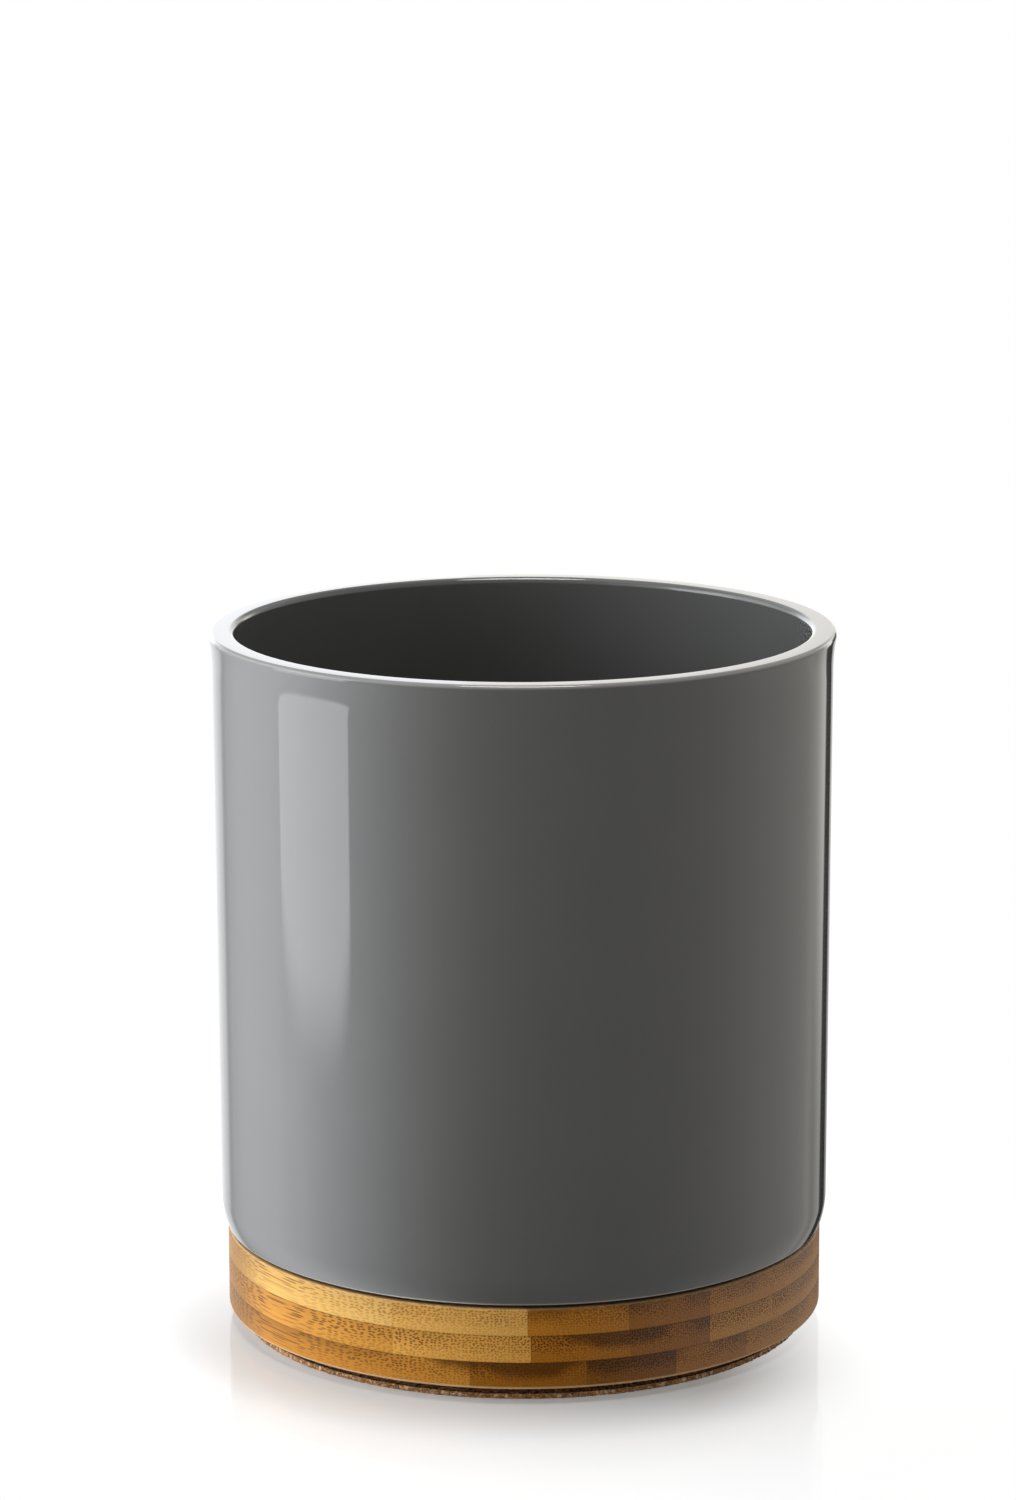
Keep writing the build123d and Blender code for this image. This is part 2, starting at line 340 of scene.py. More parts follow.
# Joints between strips, and glue lines between boards, which the base's two outer faces don't have
joint_half_width = 0.06 * mm
joint_least_change = 0.01
joint_share = 0.25
glue_line_heights = 0.02 * mm, 0.14 * mm, 0.5, 0.0
glue_colour = (0.09, 0.034, 0.005)
outer_face_margin = 1 * mm

# Fibres: how each strip moves in the pattern, how the fibres bend, and how long they are drawn out
strip_lift = 1.7
fibre_bend_size = 30 * mm
fibre_bend_reach = (1.2 * mm, 0, 1.2 * mm)
fibre_drawing = (1, 0.05, 1)
fibre_size = 0.42 * mm
fibre_share = 0.44
fibre_colour = (0.36, 0.142, 0.014)
fibre_relief = 0.5
dense_heights = 0.2, 0.62
dense_share = 0.12
dense_colour = (0.30, 0.115, 0.011)

# Dots, which are the ends of fibre bundles
dot_spacing = 0.66 * mm
dot_evenness = 0.35
dot_edge = 0.22, 0.4, 1.0, 0.0
dot_patch_size = 6 * mm
dot_patches = 0.3, 0.6, 0.6, 1.0
dot_sparse_share = 0.4
dot_colours = [(0, (0.27, 0.11, 0.02)), (0.5, (0.1, 0.036, 0.005)), (1, (0.03, 0.01, 0.002))]

# Scorched clouds, and smudges drawn as lenses that hang from the top of a board
cloud_size = 14 * mm
cloud_lift = 0.4
cloud_edge = 0.42, 0.8
cloud_tone_share = 0.7
cloud_least_share = 0.1
stain_size = 5 * mm
stain_share = 0.4
smudge_reach = 1.15
smudge_edge = 0.02, 0.5, 0.0, 0.78
scorch_colour = (0.085, 0.03, 0.003)

# Colours of the strips by tone, the palest partly painted light where the light from the left falls, and of
# the base's ends and edges
strip_tone_and_painted_light_colours = [
    (0, (0.98, 0.63, 0.2)),
    (0.15, (0.94, 0.47, 0.095)),
    (0.6, (0.58, 0.21, 0.018)),
    (1, (0.22, 0.068, 0.003)),
]
# Painted shade on the left end, and a painted grey sheen on the right end
left_end_painted_shade = -76 * mm, -64 * mm, 0.8, 0.0
left_end_shade_colour = (0.24, 0.12, 0.035)
right_end_painted_sheen = 5 * mm, 65 * mm, 0.0, 0.3
right_end_sheen_colour = (0.37, 0.36, 0.36)
# Painted highlights along the base's bottom and top edges
lower_edge_highlight_heights = 0.4 * mm, 0.85 * mm, 0.8, 0.0
upper_edge_highlight_depths = 0.12 * mm, 0.5 * mm, 0.35, 0.0
edge_painted_highlight_colour = (0.9, 0.62, 0.33)
# Painted shade on the base's top where the crock stands over it
under_crock_shade_heights = bamboo_top - 0.4 * mm, bamboo_top - 0.1 * mm
under_crock_shade_radii = 76.2 * mm, 77.4 * mm, 0.65, 0.0
under_crock_shade_colour = (0.03, 0.017, 0.009)
bamboo_roughness = 0.34
bamboo_roughness_spread = 0.16
bamboo_specular_level = 0.08
bamboo_relief = 0.04 * mm

# The boards. joints are where the strips meet, in millimetres across the fibres from the middle, and tones
# how deep each strip's colour is, from 0 to 1. smudges are (middle in X, half width, share of the board's
# height), in millimetres but for the share. phase picks the stretch of the pattern, and contrast is how
# dark the dots are.
boards = {
    "bamboo_top_layer": dict(
        name="bamboo_top_board",
        joints=(-68.8, -45.5, -22.2, 1.1, 24.4, 47.7),
        tones=(0.02, 0.09, 0.56, 0.78, 0.53, 0.49, 0.4),
        smudges=(),
        phase=3.1,
        contrast=0.76,
    ),
    "bamboo_middle_layer": dict(
        name="bamboo_middle_board",
        joints=(-68.8, -44.8, -21.6, 1.1, 24.4, 47.7),
        tones=(0.3, 0.14, 0.67, 0.79, 0.36, 0.4, 0.28),
        smudges=((24, 14, 0.75), (15, 9, 0.5)),
        phase=5.7,
        contrast=1.0,
    ),
    "bamboo_bottom_layer": dict(
        name="bamboo_bottom_board",
        joints=(-56.3, -32.8, -9.3, 14.0, 37.3, 60.6),
        tones=(0.44, 0.8, 0.93, 0.66, 0.46, 0.4, 0.4),
        smudges=((-17, 9, 0.5), (0, 14, 0.75), (27, 12, 0.5)),
        phase=9.4,
        contrast=0.82,
    ),
}


def strip_tones(tree, across, low, high, joints, tones):
    """How deep a strip's colour is at a place across the fibres, and the share of glue in the joints."""
    stops = [(low, tones[0])]
    stops += [(joint * mm, tone) for joint, tone in zip(joints, tones[1:])]
    stops += [(high, tones[-1])]

    def tone_at(shift):
        return tree.curve(tree.sum("ADD", across, shift), stops, "CONSTANT")

    change = tree.sum("SUBTRACT", tone_at(joint_half_width), tone_at(-joint_half_width))
    joint = tree.sum("GREATER_THAN", tree.sum("ABSOLUTE", change), joint_least_change)
    return tone_at(0.0), tree.sum("MULTIPLY", joint, joint_share)


def fibre_dots(tree, along, dense):
    """The dark dots of the end grain, in patches, fewer where the fibres are sparse."""
    side, _, up = tree.parts(along)
    dots = tree.step(tree.dots(tree.join(side, up), dot_spacing, dot_evenness), *dot_edge)
    patches = tree.step(tree.noise(along, dot_patch_size, detail=2), *dot_patches)
    share = tree.sum("MULTIPLY_ADD", dense, 1 - dot_sparse_share, dot_sparse_share)
    return tree.sum("MULTIPLY", dots, tree.sum("MULTIPLY", patches, share))


def scorch_marks(tree, tone, height, along, own, x, smudges):
    """The share of scorch: soft clouds towards the top of a board, and its smudges."""
    cloud = tree.noise(along, cloud_size, detail=3)
    marks = tree.step(tree.sum("MULTIPLY", cloud, tree.sum("ADD", height, cloud_lift)), *cloud_edge)
    marks = tree.sum("MULTIPLY", marks, tree.sum("MULTIPLY_ADD", tone, cloud_tone_share, cloud_least_share))
    stain = tree.sum("MULTIPLY", tree.noise(own, stain_size, detail=3), stain_share)
    for middle, half_width, share in smudges:
        beside = tree.sum("DIVIDE", tree.sum("SUBTRACT", x, middle * mm), half_width * mm)
        lens = tree.sum("SUBTRACT", smudge_reach, tree.sum("MULTIPLY", beside, beside), clamp=True)
        lens = tree.sum("MULTIPLY_ADD", lens, share, tree.sum("SUBTRACT", height, smudge_reach))
        marks = tree.sum("MAXIMUM", marks, tree.step(tree.sum("ADD", lens, stain), *smudge_edge))
    return marks


def bamboo(node, name, joints, tones, smudges, phase, contrast):
    """Laminated bamboo with level fibres: dots on the end grain, streaks along the sides."""
    low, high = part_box(node)
    made, tree = material(name)
    place = tree.place()
    x, y, _ = tree.parts(place)
    turn = {"Vector": place, "Angle": -bamboo_turn}
    turned = tree.add("ShaderNodeVectorRotate", turn, rotation_type="Z_AXIS").outputs[0]
    across, _, z = tree.parts(turned)

    tone, glue = strip_tones(tree, across, low.x, high.x, joints, tones)
    if low.z > bamboo_bottom + outer_face_margin:
        glue = tree.sum("MAXIMUM", glue, tree.step(tree.sum("SUBTRACT", z, low.z), *glue_line_heights))
    if high.z < bamboo_top - outer_face_margin:
        glue = tree.sum("MAXIMUM", glue, tree.step(tree.sum("SUBTRACT", high.z, z), *glue_line_heights))

    # Each strip has its own stretch of the fibres, which bend a little on their way
    own = tree.join(tone, phase, tree.sum("MULTIPLY", tone, strip_lift))
    own = tree.vector("ADD", turned, own)
    bend = tree.noise(own, fibre_bend_size, detail=1.0, colour=True)
    bend = tree.vector("MULTIPLY", bend, fibre_bend_reach)
    along = tree.vector("MULTIPLY", tree.vector("ADD", own, bend), fibre_drawing)

    # Bundles of fibres are dense towards the top of each board and sparse towards its bottom
    height = tree.add("ShaderNodeMapRange", {0: z, 1: low.z, 2: high.z}).outputs[0]
    dense = tree.step(height, *dense_heights)
    dots = fibre_dots(tree, along, dense)
    fibre = tree.noise(along, fibre_size, detail=3, roughness=0.65)
    marks = scorch_marks(tree, tone, height, along, own, x, smudges)

    # The strips' own tones, the palest of them partly painted light
    colour = tree.colours(tone, strip_tone_and_painted_light_colours)
    colour = tree.tint(colour, fibre, fibre_share, fibre_colour)
    colour = tree.tint(colour, dense, dense_share, dense_colour)
    colour = tree.blend(marks, colour, scorch_colour)

    # Painted shade darkens the left end, and a painted grey sheen covers the right end
    colour = tree.blend(tree.step(x, *left_end_painted_shade), colour, left_end_shade_colour)
    colour = tree.blend(tree.step(x, *right_end_painted_sheen), colour, right_end_sheen_colour)
    colour = tree.tint(colour, dots, contrast, tree.colours(tone, dot_colours))
    colour = tree.blend(glue, colour, glue_colour)

    # Painted highlights make the edges of the base a little paler, and painted shade darkens its top where
    # the crock stands over it
    lower_highlight = tree.step(tree.sum("SUBTRACT", z, bamboo_bottom), *lower_edge_highlight_heights)
    upper_highlight = tree.step(tree.sum("SUBTRACT", bamboo_top, z), *upper_edge_highlight_depths)
    colour = tree.blend(tree.sum("MAXIMUM", lower_highlight, upper_highlight), colour, edge_painted_highlight_colour)
    # Painted shade on the top, under the crock
    under_crock_shade = tree.step(tree.radius(x, y), *under_crock_shade_radii)
    under_crock_shade = tree.sum("MULTIPLY", tree.step(z, *under_crock_shade_heights), under_crock_shade)
    colour = tree.blend(under_crock_shade, colour, under_crock_shade_colour)

    relief = tree.sum("SUBTRACT", tree.sum("MULTIPLY", fibre, fibre_relief), dots)
    relief = tree.sum("SUBTRACT", relief, glue)
    tree.principled(
        Base_Color=colour,
        Roughness=tree.sum("MULTIPLY_ADD", fibre, bamboo_roughness_spread, bamboo_roughness),
        Specular_IOR_Level=bamboo_specular_level,
        Normal=tree.bump(relief, bamboo_relief),
    )
    return made


# Cork: a grain is light or dark where one of its random levels is above the threshold
cork_colours = (0.8, 0.41, 0.17), (0.4, 0.165, 0.052)
dark_grain_threshold = 0.86
dark_grain_share = 0.6
dark_grain_colour = (0.07, 0.03, 0.015)
light_grain_threshold = 0.78
light_grain_share = 0.85
light_grain_colour = (1.0, 0.68, 0.4)
cork_pore_size = 0.3 * mm
cork_pore_share = 0.45
cork_pore_colour = (0.78, 0.44, 0.21)
cork_pore_relief = 0.5
binder_width = 0.0, 0.14, 1.0, 0.0
binder_share = 0.5
binder_colour = (0.07, 0.03, 0.014)
# Painted shade on the cork's top, in the gap under the bamboo base
cork_gap_shade_heights = cork_top - 0.2 * mm, cork_top - 0.05 * mm
cork_gap_shade_share = 0.92
cork_gap_shade_colour = (0.012, 0.008, 0.006)
cork_roughness = 0.92
cork_ior = 1.4
cork_relief = 0.25 * mm


def cork():
    """Pressed cork granules in browns, with dark binder between them."""
    made, tree = material("cork_granules")
    place = tree.place()
    shade, dark_level, light_level = tree.parts(tree.cells(place, cork_grain_size)["Color"])
    seams = tree.cells(place, cork_grain_size, feature="DISTANCE_TO_EDGE")["Distance"]
    pores = tree.noise(place, cork_pore_size, detail=3, roughness=0.7)
    dark_grain = tree.sum("GREATER_THAN", dark_level, dark_grain_threshold)
    light_grain = tree.sum("GREATER_THAN", light_level, light_grain_threshold)
    binder = tree.step(seams, *binder_width)
    colour = tree.blend(shade, *cork_colours)
    colour = tree.tint(colour, dark_grain, dark_grain_share, dark_grain_colour)
    colour = tree.tint(colour, pores, cork_pore_share, cork_pore_colour)
    colour = tree.tint(colour, light_grain, light_grain_share, light_grain_colour)
    colour = tree.tint(colour, binder, binder_share, binder_colour)

    # Painted shade darkens the top, in the gap under the bamboo base
    gap_shade = tree.step(tree.parts(place)["Z"], *cork_gap_shade_heights)
    colour = tree.tint(colour, gap_shade, cork_gap_shade_share, cork_gap_shade_colour)
    relief = tree.sum("SUBTRACT", tree.sum("MULTIPLY", pores, cork_pore_relief), binder)
    tree.principled(
        Base_Color=colour,
        Roughness=cork_roughness,
        IOR=cork_ior,
        Normal=tree.bump(relief, cork_relief),
    )
    return made


# Steel
rolling_drawing = (1, 0.02, 1)
rolling_line_size = 0.12 * mm
rolling_relief = 0.01 * mm
rolling_share = 0.5
spangle_share = 0.5
steel_smudge_size = 9 * mm
steel_smudge_roughness = 0.16
ball_colours = (0.62, 0.62, 0.63), (0.72, 0.72, 0.72)
ball_film_size = 2 * mm
ball_film_roughness = 0.08
ball_roughness = 0.06


def rolled_steel(name, dark, light, roughness, spangle):
    """Bare or plated sheet steel: fine rolling lines over slightly different grains."""
    made, tree = material(name)
    place = tree.place()
    grains = tree.parts(tree.cells(place, spangle)["Color"])["X"]
    lines = tree.noise(tree.vector("MULTIPLY", place, rolling_drawing), rolling_line_size, detail=2)
    smudge = tree.noise(place, steel_smudge_size, detail=3)
    shade = tree.sum("MULTIPLY_ADD", grains, spangle_share, tree.sum("MULTIPLY", lines, rolling_share))
    tree.principled(
        Base_Color=tree.blend(shade, dark, light),
        Metallic=1.0,
        Roughness=tree.sum("MULTIPLY_ADD", smudge, steel_smudge_roughness, roughness),
        Normal=tree.bump(lines, rolling_relief),
    )
    return made


def polished_steel():
    """Polished ball steel with faint handling marks."""
    made, tree = material("ball_steel_polish")
    film = tree.noise(tree.place(), ball_film_size, detail=4)
    tree.principled(
        Base_Color=tree.blend(film, *ball_colours),
        Metallic=1.0,
        Roughness=tree.sum("MULTIPLY_ADD", film, ball_film_roughness, ball_roughness),
    )
    return made


# Plastic, rubber and powder coat
moulded_cloud_size = 12 * mm
moulded_grain_roughness = 0.15


def moulded(name, first, second, roughness, grain, relief):
    """A moulded or powder-coated surface with a fine grain."""
    made, tree = material(name)
    place = tree.place()
    texture = tree.noise(place, grain, detail=3, roughness=0.6)
    cloud = tree.noise(place, moulded_cloud_size, detail=2)
    tree.principled(
        Base_Color=tree.blend(cloud, first, second),
        Roughness=tree.sum("MULTIPLY_ADD", texture, moulded_grain_roughness, roughness),
        Normal=tree.bump(texture, relief),
    )
    return made


def arc(centre, radius, start, end, steps):
    """Points of an arc in a profile of (radius, height). Angles are in degrees from outward."""
    points = []
    for step in range(steps + 1):
        angle = radians(start + (end - start) * step / steps)
        points.append((centre[0] + radius * cos(angle), centre[1] + radius * sin(angle)))
    return points


def line(start, end, steps):
    """Points of a straight stretch of a profile, without its two ends."""
    shares = [step / steps for step in range(1, steps)]
    return [(start[0] + (end[0] - start[0]) * t, start[1] + (end[1] - start[1]) * t) for t in shares]


def lathe(name, profile, segments):
    """A round mesh from a profile that starts and ends on the axis."""
    rings = profile[1:-1]
    turns = [(cos(tau * i / segments), sin(tau * i / segments)) for i in range(segments)]
    points = [(radius * x, radius * y, height) for radius, height in rings for x, y in turns]
    first, last = len(points), len(points) + 1
    points += [(0, 0, profile[0][1]), (0, 0, profile[-1][1])]
    faces = []
    for i in range(segments):
        j = (i + 1) % segments
        faces.append((first, j, i))
        for k in range(len(rings) - 1):
            a, b = k * segments, (k + 1) * segments
            faces.append((a + i, a + j, b + j, b + i))
        end = (len(rings) - 1) * segments
        faces.append((end + i, end + j, last))
    made = mesh_object(name, points, faces)
    made.data.shade_smooth()
    return made


def level_noise(place, size):
    """Noise from 0 to 1 at a place, with features about as large as size."""
    return 0.5 + 0.5 * noise.noise(place / size)


def crock_profile():
    """The crock's section: under the floor, foot ring, lower curve, wall, flared rim, bore and floor."""
    underside = foot_ring_bottom + foot_hollow_depth
    floor = underside + crock_floor_thickness
    bore = crock_radius - crock_wall
    ring_outer = crock_radius - foot_ring_inset
    ring_inner = ring_outer - foot_ring_width
    ring_height = foot_ring_bottom + foot_ring_rounding

    # The lower curve and the small rounding inside it, which meets the flat underside
    lower_wall_radius = crock_radius - crock_wall_draft
    curve_centre = (lower_wall_radius - lower_curve_radius, crock_bottom + lower_curve_height)
    edge_height = crock_bottom + lower_edge_rounding
    reach = lower_curve_radius - lower_edge_rounding
    edge_turn = asin((curve_centre[1] - edge_height) / reach)
    edge_centre = (curve_centre[0] + reach * cos(edge_turn), edge_height)
    edge_angle = degrees(edge_turn)

    # The flare carries the wall's slope on outwards, and the rounding outside it meets the flat rim
    wall_low = (lower_wall_radius, curve_centre[1])
    wall_high = (crock_radius, crock_top - rim_flare_height)
    wall_slope = atan2(crock_wall_draft, wall_high[1] - wall_low[1])
    flare_chord = hypot(rim_flare, rim_flare_height)
    flare_radius = flare_chord / (2 * sin(atan2(rim_flare, rim_flare_height) - wall_slope))
    flare_centre = (
        wall_high[0] + flare_radius * cos(wall_slope),
        wall_high[1] - flare_radius * sin(wall_slope),
    )
    rim_height = crock_top - rim_outer_rounding
    flare_reach = flare_radius + rim_outer_rounding
    flare_turn = asin((rim_height - flare_centre[1]) / flare_reach)
    rim_centre = (flare_centre[0] - flare_reach * cos(flare_turn), rim_height)
    flare_angle = degrees(flare_turn)
    slope_angle = degrees(wall_slope)

    bore_high = (bore, crock_top - rim_inner_rounding)
    bore_low = (bore, floor + crock_floor_rounding)
    floor_edge = bore - crock_floor_rounding
    ring_inner_centre = (ring_inner + foot_ring_rounding, ring_height)
    ring_outer_centre = (ring_outer - foot_ring_rounding, ring_height)
    profile = [(0, underside)]
    profile += line((0, underside), (ring_inner, underside), foot_hollow_steps)
    profile += [(ring_inner, underside)]
    profile += arc(ring_inner_centre, foot_ring_rounding, 180, 270, foot_ring_steps)
    profile += arc(ring_outer_centre, foot_ring_rounding, 270, 360, foot_ring_steps)
    profile += [(ring_outer, crock_bottom)]
    profile += arc(edge_centre, lower_edge_rounding, -90, -edge_angle, lower_edge_steps)
    profile += arc(curve_centre, lower_curve_radius, -edge_angle, 0, lower_curve_steps)[1:]
    profile += line(wall_low, wall_high, wall_steps)
    profile += arc(flare_centre, flare_radius, 180 - slope_angle, 180 - flare_angle, flare_steps)
    profile += arc(rim_centre, rim_outer_rounding, -flare_angle, 90, rim_outer_steps)[1:]
    profile += arc((bore + rim_inner_rounding, bore_high[1]), rim_inner_rounding, 90, 180, rim_inner_steps)
    profile += line(bore_high, bore_low, wall_steps)
    profile += arc((floor_edge, bore_low[1]), crock_floor_rounding, 0, -90, floor_corner_steps)
    profile += line((floor_edge, floor), (0, floor), floor_steps)
    profile += [(0, floor)]
    return profile


def make_crock():
    """The crock, its wall a hair uneven as cast ware is, bare under the foot ring."""
    crock = lathe("glazed_crock", crock_profile(), crock_segments)
    for vertex in crock.data.vertices:
        outward = Vector((vertex.co.x, vertex.co.y, 0))
        wave = level_noise(vertex.co, glaze_wave_length)
        if outward.length > crock_radius - crock_wall / 2:
            vertex.co -= outward.normalized() * wave * glaze_wave_depth
    crock.data.materials.append(glaze())
    crock.data.materials.append(bare_clay())
    for face in crock.data.polygons:
        face.material_index = int(face.center.z < foot_ring_bottom + bare_clay_height)
    crock.data.set_sharp_from_angle(angle=sharp_edge_angle)
    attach(crock, "crock")
    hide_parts("ceramic_crock")


def cork_profile():
    """The cork disc's section, from the middle of its underside to the middle of its top."""
    inner = cork_radius - cork_edge_rounding
    side_low = (cork_radius, cork_edge_rounding)
    side_high = (cork_radius, cork_top - cork_edge_rounding)
    top_edge, top_inner = (inner, cork_top), (inner - cork_top_band, cork_top)
    profile = [(0, 0)]
    profile += line((0, 0), (inner, 0), cork_underside_rings)
    profile += arc((inner, side_low[1]), cork_edge_rounding, -90, 0, cork_edge_steps)
    profile += line(side_low, side_high, cork_side_rings)
    profile += arc((inner, side_high[1]), cork_edge_rounding, 0, 90, cork_edge_steps)
    profile += line(top_edge, top_inner, cork_top_rings)
    profile += [top_inner, (0, cork_top)]
    return profile


def make_cork():
    """The cork pad with its granules standing out along the edge, flat where it stands."""
    pad = lathe("cork_granule_pad", cork_profile(), cork_segments)
    for vertex in pad.data.vertices:
        distances, _ = noise.voronoi(vertex.co / cork_grain_size)
        crack = 1 - min(1, (distances[1] - distances[0]) / cork_crack_width)
        lump = level_noise(vertex.co, cork_lump_size)
        sink = cork_grain_depth * min(1, cork_crack_share * crack + cork_lump_share * lump)
        outward = Vector((vertex.co.x, vertex.co.y, 0))
        if outward.length > cork_radius - 2 * cork_edge_rounding:
            vertex.co -= outward.normalized() * sink
        elif outward.length > cork_radius - cork_top_relief_width and vertex.co.z > cork_top / 2:
            vertex.co.z -= sink * cork_top_relief_share
    pad.data.materials.append(cork())
    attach(pad, "foot")
    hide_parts("cork_pad")


def dress_nodes():
    """Materials for the solids whose shape is right as packed."""
    sheet = rolled_steel(
        "plated_sheet", dark=(0.48, 0.48, 0.47), light=(0.66, 0.66, 0.65), roughness=0.3, spangle=2.5 * mm
    )
    zinc = rolled_steel(
        "zinc_plate", dark=(0.5, 0.5, 0.46), light=(0.72, 0.72, 0.68), roughness=0.24, spangle=0.8 * mm
    )
    nylon = moulded(
        "white_nylon", (0.74, 0.73, 0.69), (0.8, 0.79, 0.75), roughness=0.5, grain=0.2 * mm, relief=0.01 * mm
    )
    silicone = moulded(
        "clear_grey_silicone", (0.68, 0.68, 0.66), (0.76, 0.76, 0.74),
        roughness=0.38, grain=0.3 * mm, relief=0.01 * mm,
    )
    black_paint = moulded(
        "black_powder_coat", (0.02, 0.02, 0.02), (0.032, 0.032, 0.032),
        roughness=0.45, grain=0.35 * mm, relief=0.03 * mm,
    )
    finishes = {
        "bearing_upper_race": sheet,
        "bearing_lower_race": sheet,
        "race_screws": zinc,
        "foot_rivets": zinc,
        "centre_eyelet": zinc,
        "bearing_balls": polished_steel(),
        "ball_cage": nylon,
        "hub_washer": nylon,
        "seat_pads": silicone,
        "foot_plate": black_paint,
    }
    for node, looks in boards.items():
        finishes[node] = bamboo(node, **looks)
    for node, finish in finishes.items():
        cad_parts[node].material_slots[0].material = finish


# Floor: its painted glow and painted shadow go by the distance from the axis, and it fades to white around
# its own centre
floor_radius = 0.19
floor_segments = 96
floor_gap = 0.05 * mm
# Painted shadow: the floor's colour is darker near the crock
floor_painted_shadow_edge = 0.085, 0.108
floor_painted_shadow_shades = (0.73, 0.73, 0.73), (0.9, 0.9, 0.9)
# Painted glow: the floor glows faintly close to the cork, lifting its shadow
floor_painted_glow = cork_radius, 0.082, 0.17, 0.0
floor_fade_edge = 0.08, 0.15
floor_fade_centre = (-0.02, -0.07, 0)
floor_fade_shape = (1.3, 1, 0)
floor_gloss = 0.6 * floor_radius, floor_radius, 0.1, 0.0
floor_gloss_roughness = 0.06
floor_bounce_colour = (0.25, 0.25, 0.25, 1)


def make_floor():
    """A small pale floor: it takes the crock's shadow and faint reflection, has a painted shadow near the
    crock and a painted glow at the cork, and ends in plain white.
    """
    turns = [tau * i / floor_segments for i in range(floor_segments)]
    points = [(floor_radius * cos(turn), floor_radius * sin(turn), -floor_gap) for turn in turns]
    floor = mesh_object("floor", points, [tuple(range(len(points)))])
    made, tree = material("pale_floor")
    place = tree.place()
    near = tree.vector("LENGTH", place, result="Value")
    # Painted shadow near the crock, and a painted glow close to the cork
    shade = tree.blend(tree.step(near, *floor_painted_shadow_edge), *floor_painted_shadow_shades)
    glow = tree.shader("Emission", Color=white, Strength=tree.step(near, *floor_painted_glow))
    matt = tree.add_shaders(tree.shader("BsdfDiffuse", Color=shade), glow)
    plain = tree.shader("Emission", Color=white, Strength=1.0)
    away = tree.vector("MULTIPLY", tree.vector("SUBTRACT", place, floor_fade_centre), floor_fade_shape)
    away = tree.vector("LENGTH", away, result="Value")
    pale = tree.mix_shaders(tree.step(away, *floor_fade_edge), matt, plain)
    polish = tree.shader("BsdfGlossy", Color=white, Roughness=floor_gloss_roughness)
    pale = tree.mix_shaders(tree.step(near, *floor_gloss), pale, polish)

    # The camera and clear materials see it pale, and it throws little light back up
    ray = tree.add("ShaderNodeLightPath", {}).outputs
    seen = tree.sum("ADD", ray["Is Camera Ray"], ray["Is Glossy Ray"])
    seen = tree.sum("ADD", seen, ray["Is Transmission Ray"], clamp=True)
    tree.surface(tree.mix_shaders(seen, tree.shader("BsdfDiffuse", Color=floor_bounce_colour), pale))
    floor.data.materials.append(made)

    # The glaze doesn't mirror it
    floor.visible_glossy = False


# Dome of soft light. Azimuth 0 is towards the camera and 90 to its left, and angles are in degrees
dome_radius = 3.0
dome_rows = 24
dome_columns = 48
dome_pole_spread = 0.001
dome_around = [
    (-180, 0.8), (-169, 0.62), (-163.5, 0.55), (-155, 0.7), (-151.5, 1.02), (-143, 0.95), (-128, 0.76),
    (-97, 0.88), (-60, 0.55), (-30, 0.38), (0, 0.29), (16, 0.32), (31, 0.58), (46, 1.1), (72, 2.5),
    (91, 3.3), (106, 3.1), (120, 2.3), (134, 1.45), (147, 0.5), (151, 1.0), (160, 1.05), (180, 0.9),
]
dome_sides = [(-90, 2.5), (-62, 2.5), (-52, 1.0), (35, 1.0), (50, 0.3), (90, 0.3)]
dome_behind = [(-90, 1.2), (-7, 1.2), (-2, 2.4), (16, 2.4), (24, 0.8), (90, 0.6)]
behind_azimuths = 136, 146
low_corner_azimuths = -140, -132, 1.0, 0.0
low_corner_elevations = -16.5, -8.5, 1.0, 0.0
low_corner_share = 0.45
card_first_edge = -163, -160
card_second_edge = -151.5, -148.5, 1.0, 0.0
card_elevations = 4, 12, 1.0, 0.0
card_share = 0.97
dome_colour_azimuths = 25, 60
dome_colours = (1.0, 0.985, 0.94), (0.975, 0.99, 1.02)

# Strip box on the left: two upright edges, and a foot that fades out along an arch
strip_near_corner = Vector((-1.89, -0.82, 0))
strip_far_corner = Vector((-2.006, 0.368, 0))
strip_bottom = -0.62
strip_top = 1.5
strip_foot = -0.475, -0.385
strip_foot_slant = 0.02
strip_foot_arch = 0.05
strip_foot_power = 6.0
strip_radiances = 3.15, 1.85
strip_colour = (0.97, 0.985, 1, 1)

# Round lamp overhead
overhead_height = 2.3
overhead_radius = 0.48
overhead_radiance = 12.0


def stage_light(name, points, faces, finish):
    """A glowing surface of the studio, which the camera doesn't see."""
    made = mesh_object(name, points, faces)
    made.data.materials.append(finish)
    made.visible_camera = False


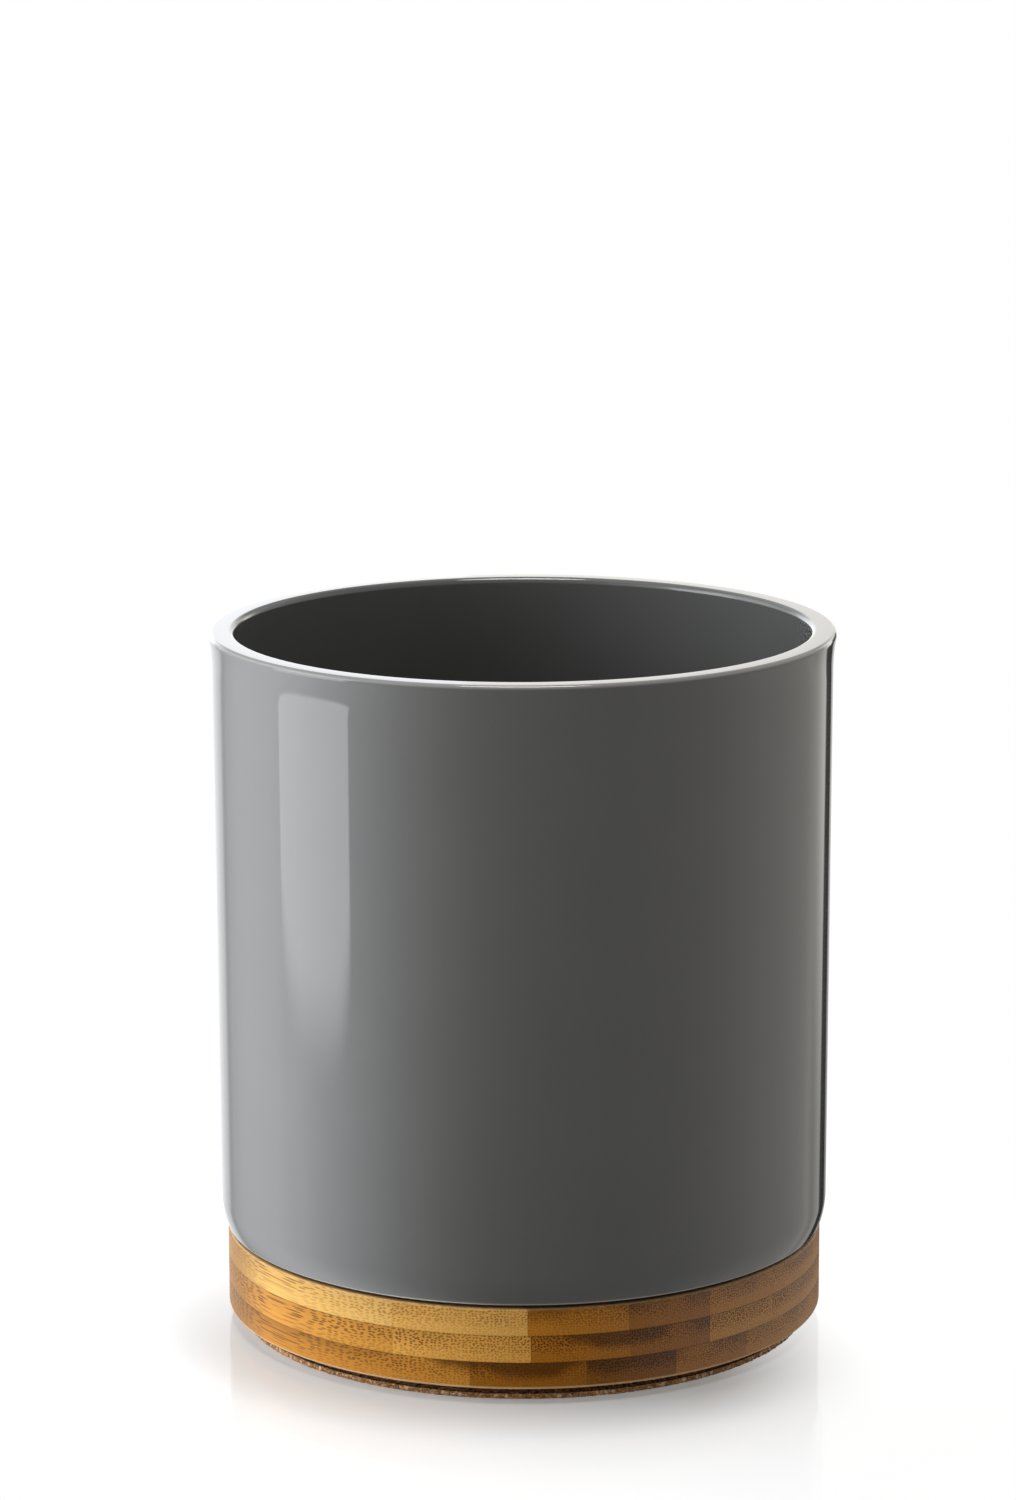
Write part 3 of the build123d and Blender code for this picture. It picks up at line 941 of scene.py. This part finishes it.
def dome_light():
    """The dome's light by direction."""
    made, tree = material("studio_dome_light")
    x, y, z = tree.parts(tree.vector("NORMALIZE", tree.place()))
    left, front = tree.sum("MULTIPLY", x, -1.0), tree.sum("MULTIPLY", y, -1.0)
    azimuth = tree.sum("DEGREES", tree.sum("ARCTAN2", left, front))
    elevation = tree.sum("DEGREES", tree.sum("ARCSINE", z))
    back = tree.step(tree.sum("ABSOLUTE", azimuth), *behind_azimuths)
    levels = {0: back, 2: tree.curve(elevation, dome_sides), 3: tree.curve(elevation, dome_behind)}
    level = tree.add("ShaderNodeMix", levels, data_type="FLOAT").outputs[0]
    strength = tree.sum("MULTIPLY", tree.curve(azimuth, dome_around), level)

    # Low on the right, behind the crock, it is dimmer
    corner = tree.step(elevation, *low_corner_elevations)
    corner = tree.sum("MULTIPLY", tree.step(azimuth, *low_corner_azimuths), corner)
    strength = tree.darken(strength, corner, low_corner_share)

    # A narrow dark card on the right, behind the crock
    card = tree.sum("MULTIPLY", tree.step(azimuth, *card_first_edge), tree.step(azimuth, *card_second_edge))
    card = tree.sum("MULTIPLY", card, tree.step(elevation, *card_elevations))
    strength = tree.darken(strength, card, card_share)

    colour = tree.blend(tree.step(azimuth, *dome_colour_azimuths), *dome_colours)
    tree.surface(tree.shader("Emission", Color=colour, Strength=strength))
    made.cycles.emission_sampling = "NONE"
    return made


def strip_light():
    """The strip box adds its light to what lies behind it, and fades out at its foot."""
    made, tree = material("strip_box_light")
    _, y, z = tree.parts(tree.place())
    ends = {0: y, 1: strip_near_corner.y, 2: strip_far_corner.y, 3: -1.0, 4: 1.0}
    across = tree.add("ShaderNodeMapRange", ends).outputs[0]
    arch = tree.sum("POWER", tree.sum("ABSOLUTE", across), strip_foot_power)
    arch = tree.sum("MULTIPLY", arch, strip_foot_arch)
    arch = tree.sum("ADD", arch, tree.sum("MULTIPLY", across, strip_foot_slant))
    fade = tree.step(tree.sum("SUBTRACT", z, arch), *strip_foot)
    strength = tree.sum("MULTIPLY", fade, tree.step(across, -1.0, 1.0, *strip_radiances))
    glow = tree.shader("Emission", Color=strip_colour, Strength=strength)
    tree.surface(tree.add_shaders(glow, tree.shader("BsdfTransparent")))
    return made


def make_studio():
    """The dome, the strip box, the overhead lamp and the white that the camera sees beyond the floor."""
    points, faces = [], []
    for row in range(dome_rows + 1):
        height = pi * (row / dome_rows - 0.5)
        spread = max(cos(height), dome_pole_spread)
        for column in range(dome_columns):
            turn = tau * column / dome_columns
            points.append(dome_radius * Vector((spread * cos(turn), spread * sin(turn), sin(height))))
    for row in range(dome_rows):
        for column in range(dome_columns):
            beside = (column + 1) % dome_columns
            a, b = row * dome_columns, (row + 1) * dome_columns
            faces.append((a + column, a + beside, b + beside, b + column))
    stage_light("studio_dome", points, faces, dome_light())

    corners = [(strip_near_corner, strip_bottom), (strip_far_corner, strip_bottom)]
    corners += [(strip_far_corner, strip_top), (strip_near_corner, strip_top)]
    points = [(corner.x, corner.y, height) for corner, height in corners]
    stage_light("strip_box", points, [(0, 1, 2, 3)], strip_light())

    # A disk lamp's power is its radiance times pi times its area
    lamp = bpy.data.lights.new("overhead_lamp", "AREA")
    lamp.shape = "DISK"
    lamp.size = 2 * overhead_radius
    lamp.energy = overhead_radiance * pi * pi * overhead_radius**2
    overhead = add_object("overhead_lamp", lamp)
    overhead.location = (0, 0, overhead_height)
    overhead.visible_camera = False

    world = bpy.data.worlds.new("white_surround")
    tree = Tree(world)
    tree.add("ShaderNodeOutputWorld", {"Surface": tree.shader("Background", Color=white, Strength=1.0)})
    bpy.context.scene.world = world


# Camera. Angles are in radians
picture_height = 1500
focal_pixels = 4731.4
sensor_width = 36
camera_place = Vector((-0.02015, -1.19922, 0.4012))
camera_yaw = 0.0136
camera_pitch = 0.2061
camera_roll = -0.003


def make_camera():
    """The camera of the photograph, a little above the rim and looking slightly down."""
    lens = bpy.data.cameras.new("camera")
    lens.sensor_width = sensor_width
    lens.lens = focal_pixels / picture_height * sensor_width
    lens.clip_end = 2 * dome_radius
    camera = add_object("camera", lens)
    turn = Matrix.Rotation(-camera_yaw, 4, "Z") @ Matrix.Rotation(pi / 2 - camera_pitch, 4, "X")
    camera.matrix_world = Matrix.Translation(camera_place) @ turn @ Matrix.Rotation(camera_roll, 4, "Z")
    bpy.context.scene.camera = camera


make_camera()
make_crock()
make_cork()
dress_nodes()
make_floor()
make_studio()
bpy.context.scene.view_settings.view_transform = "Standard"
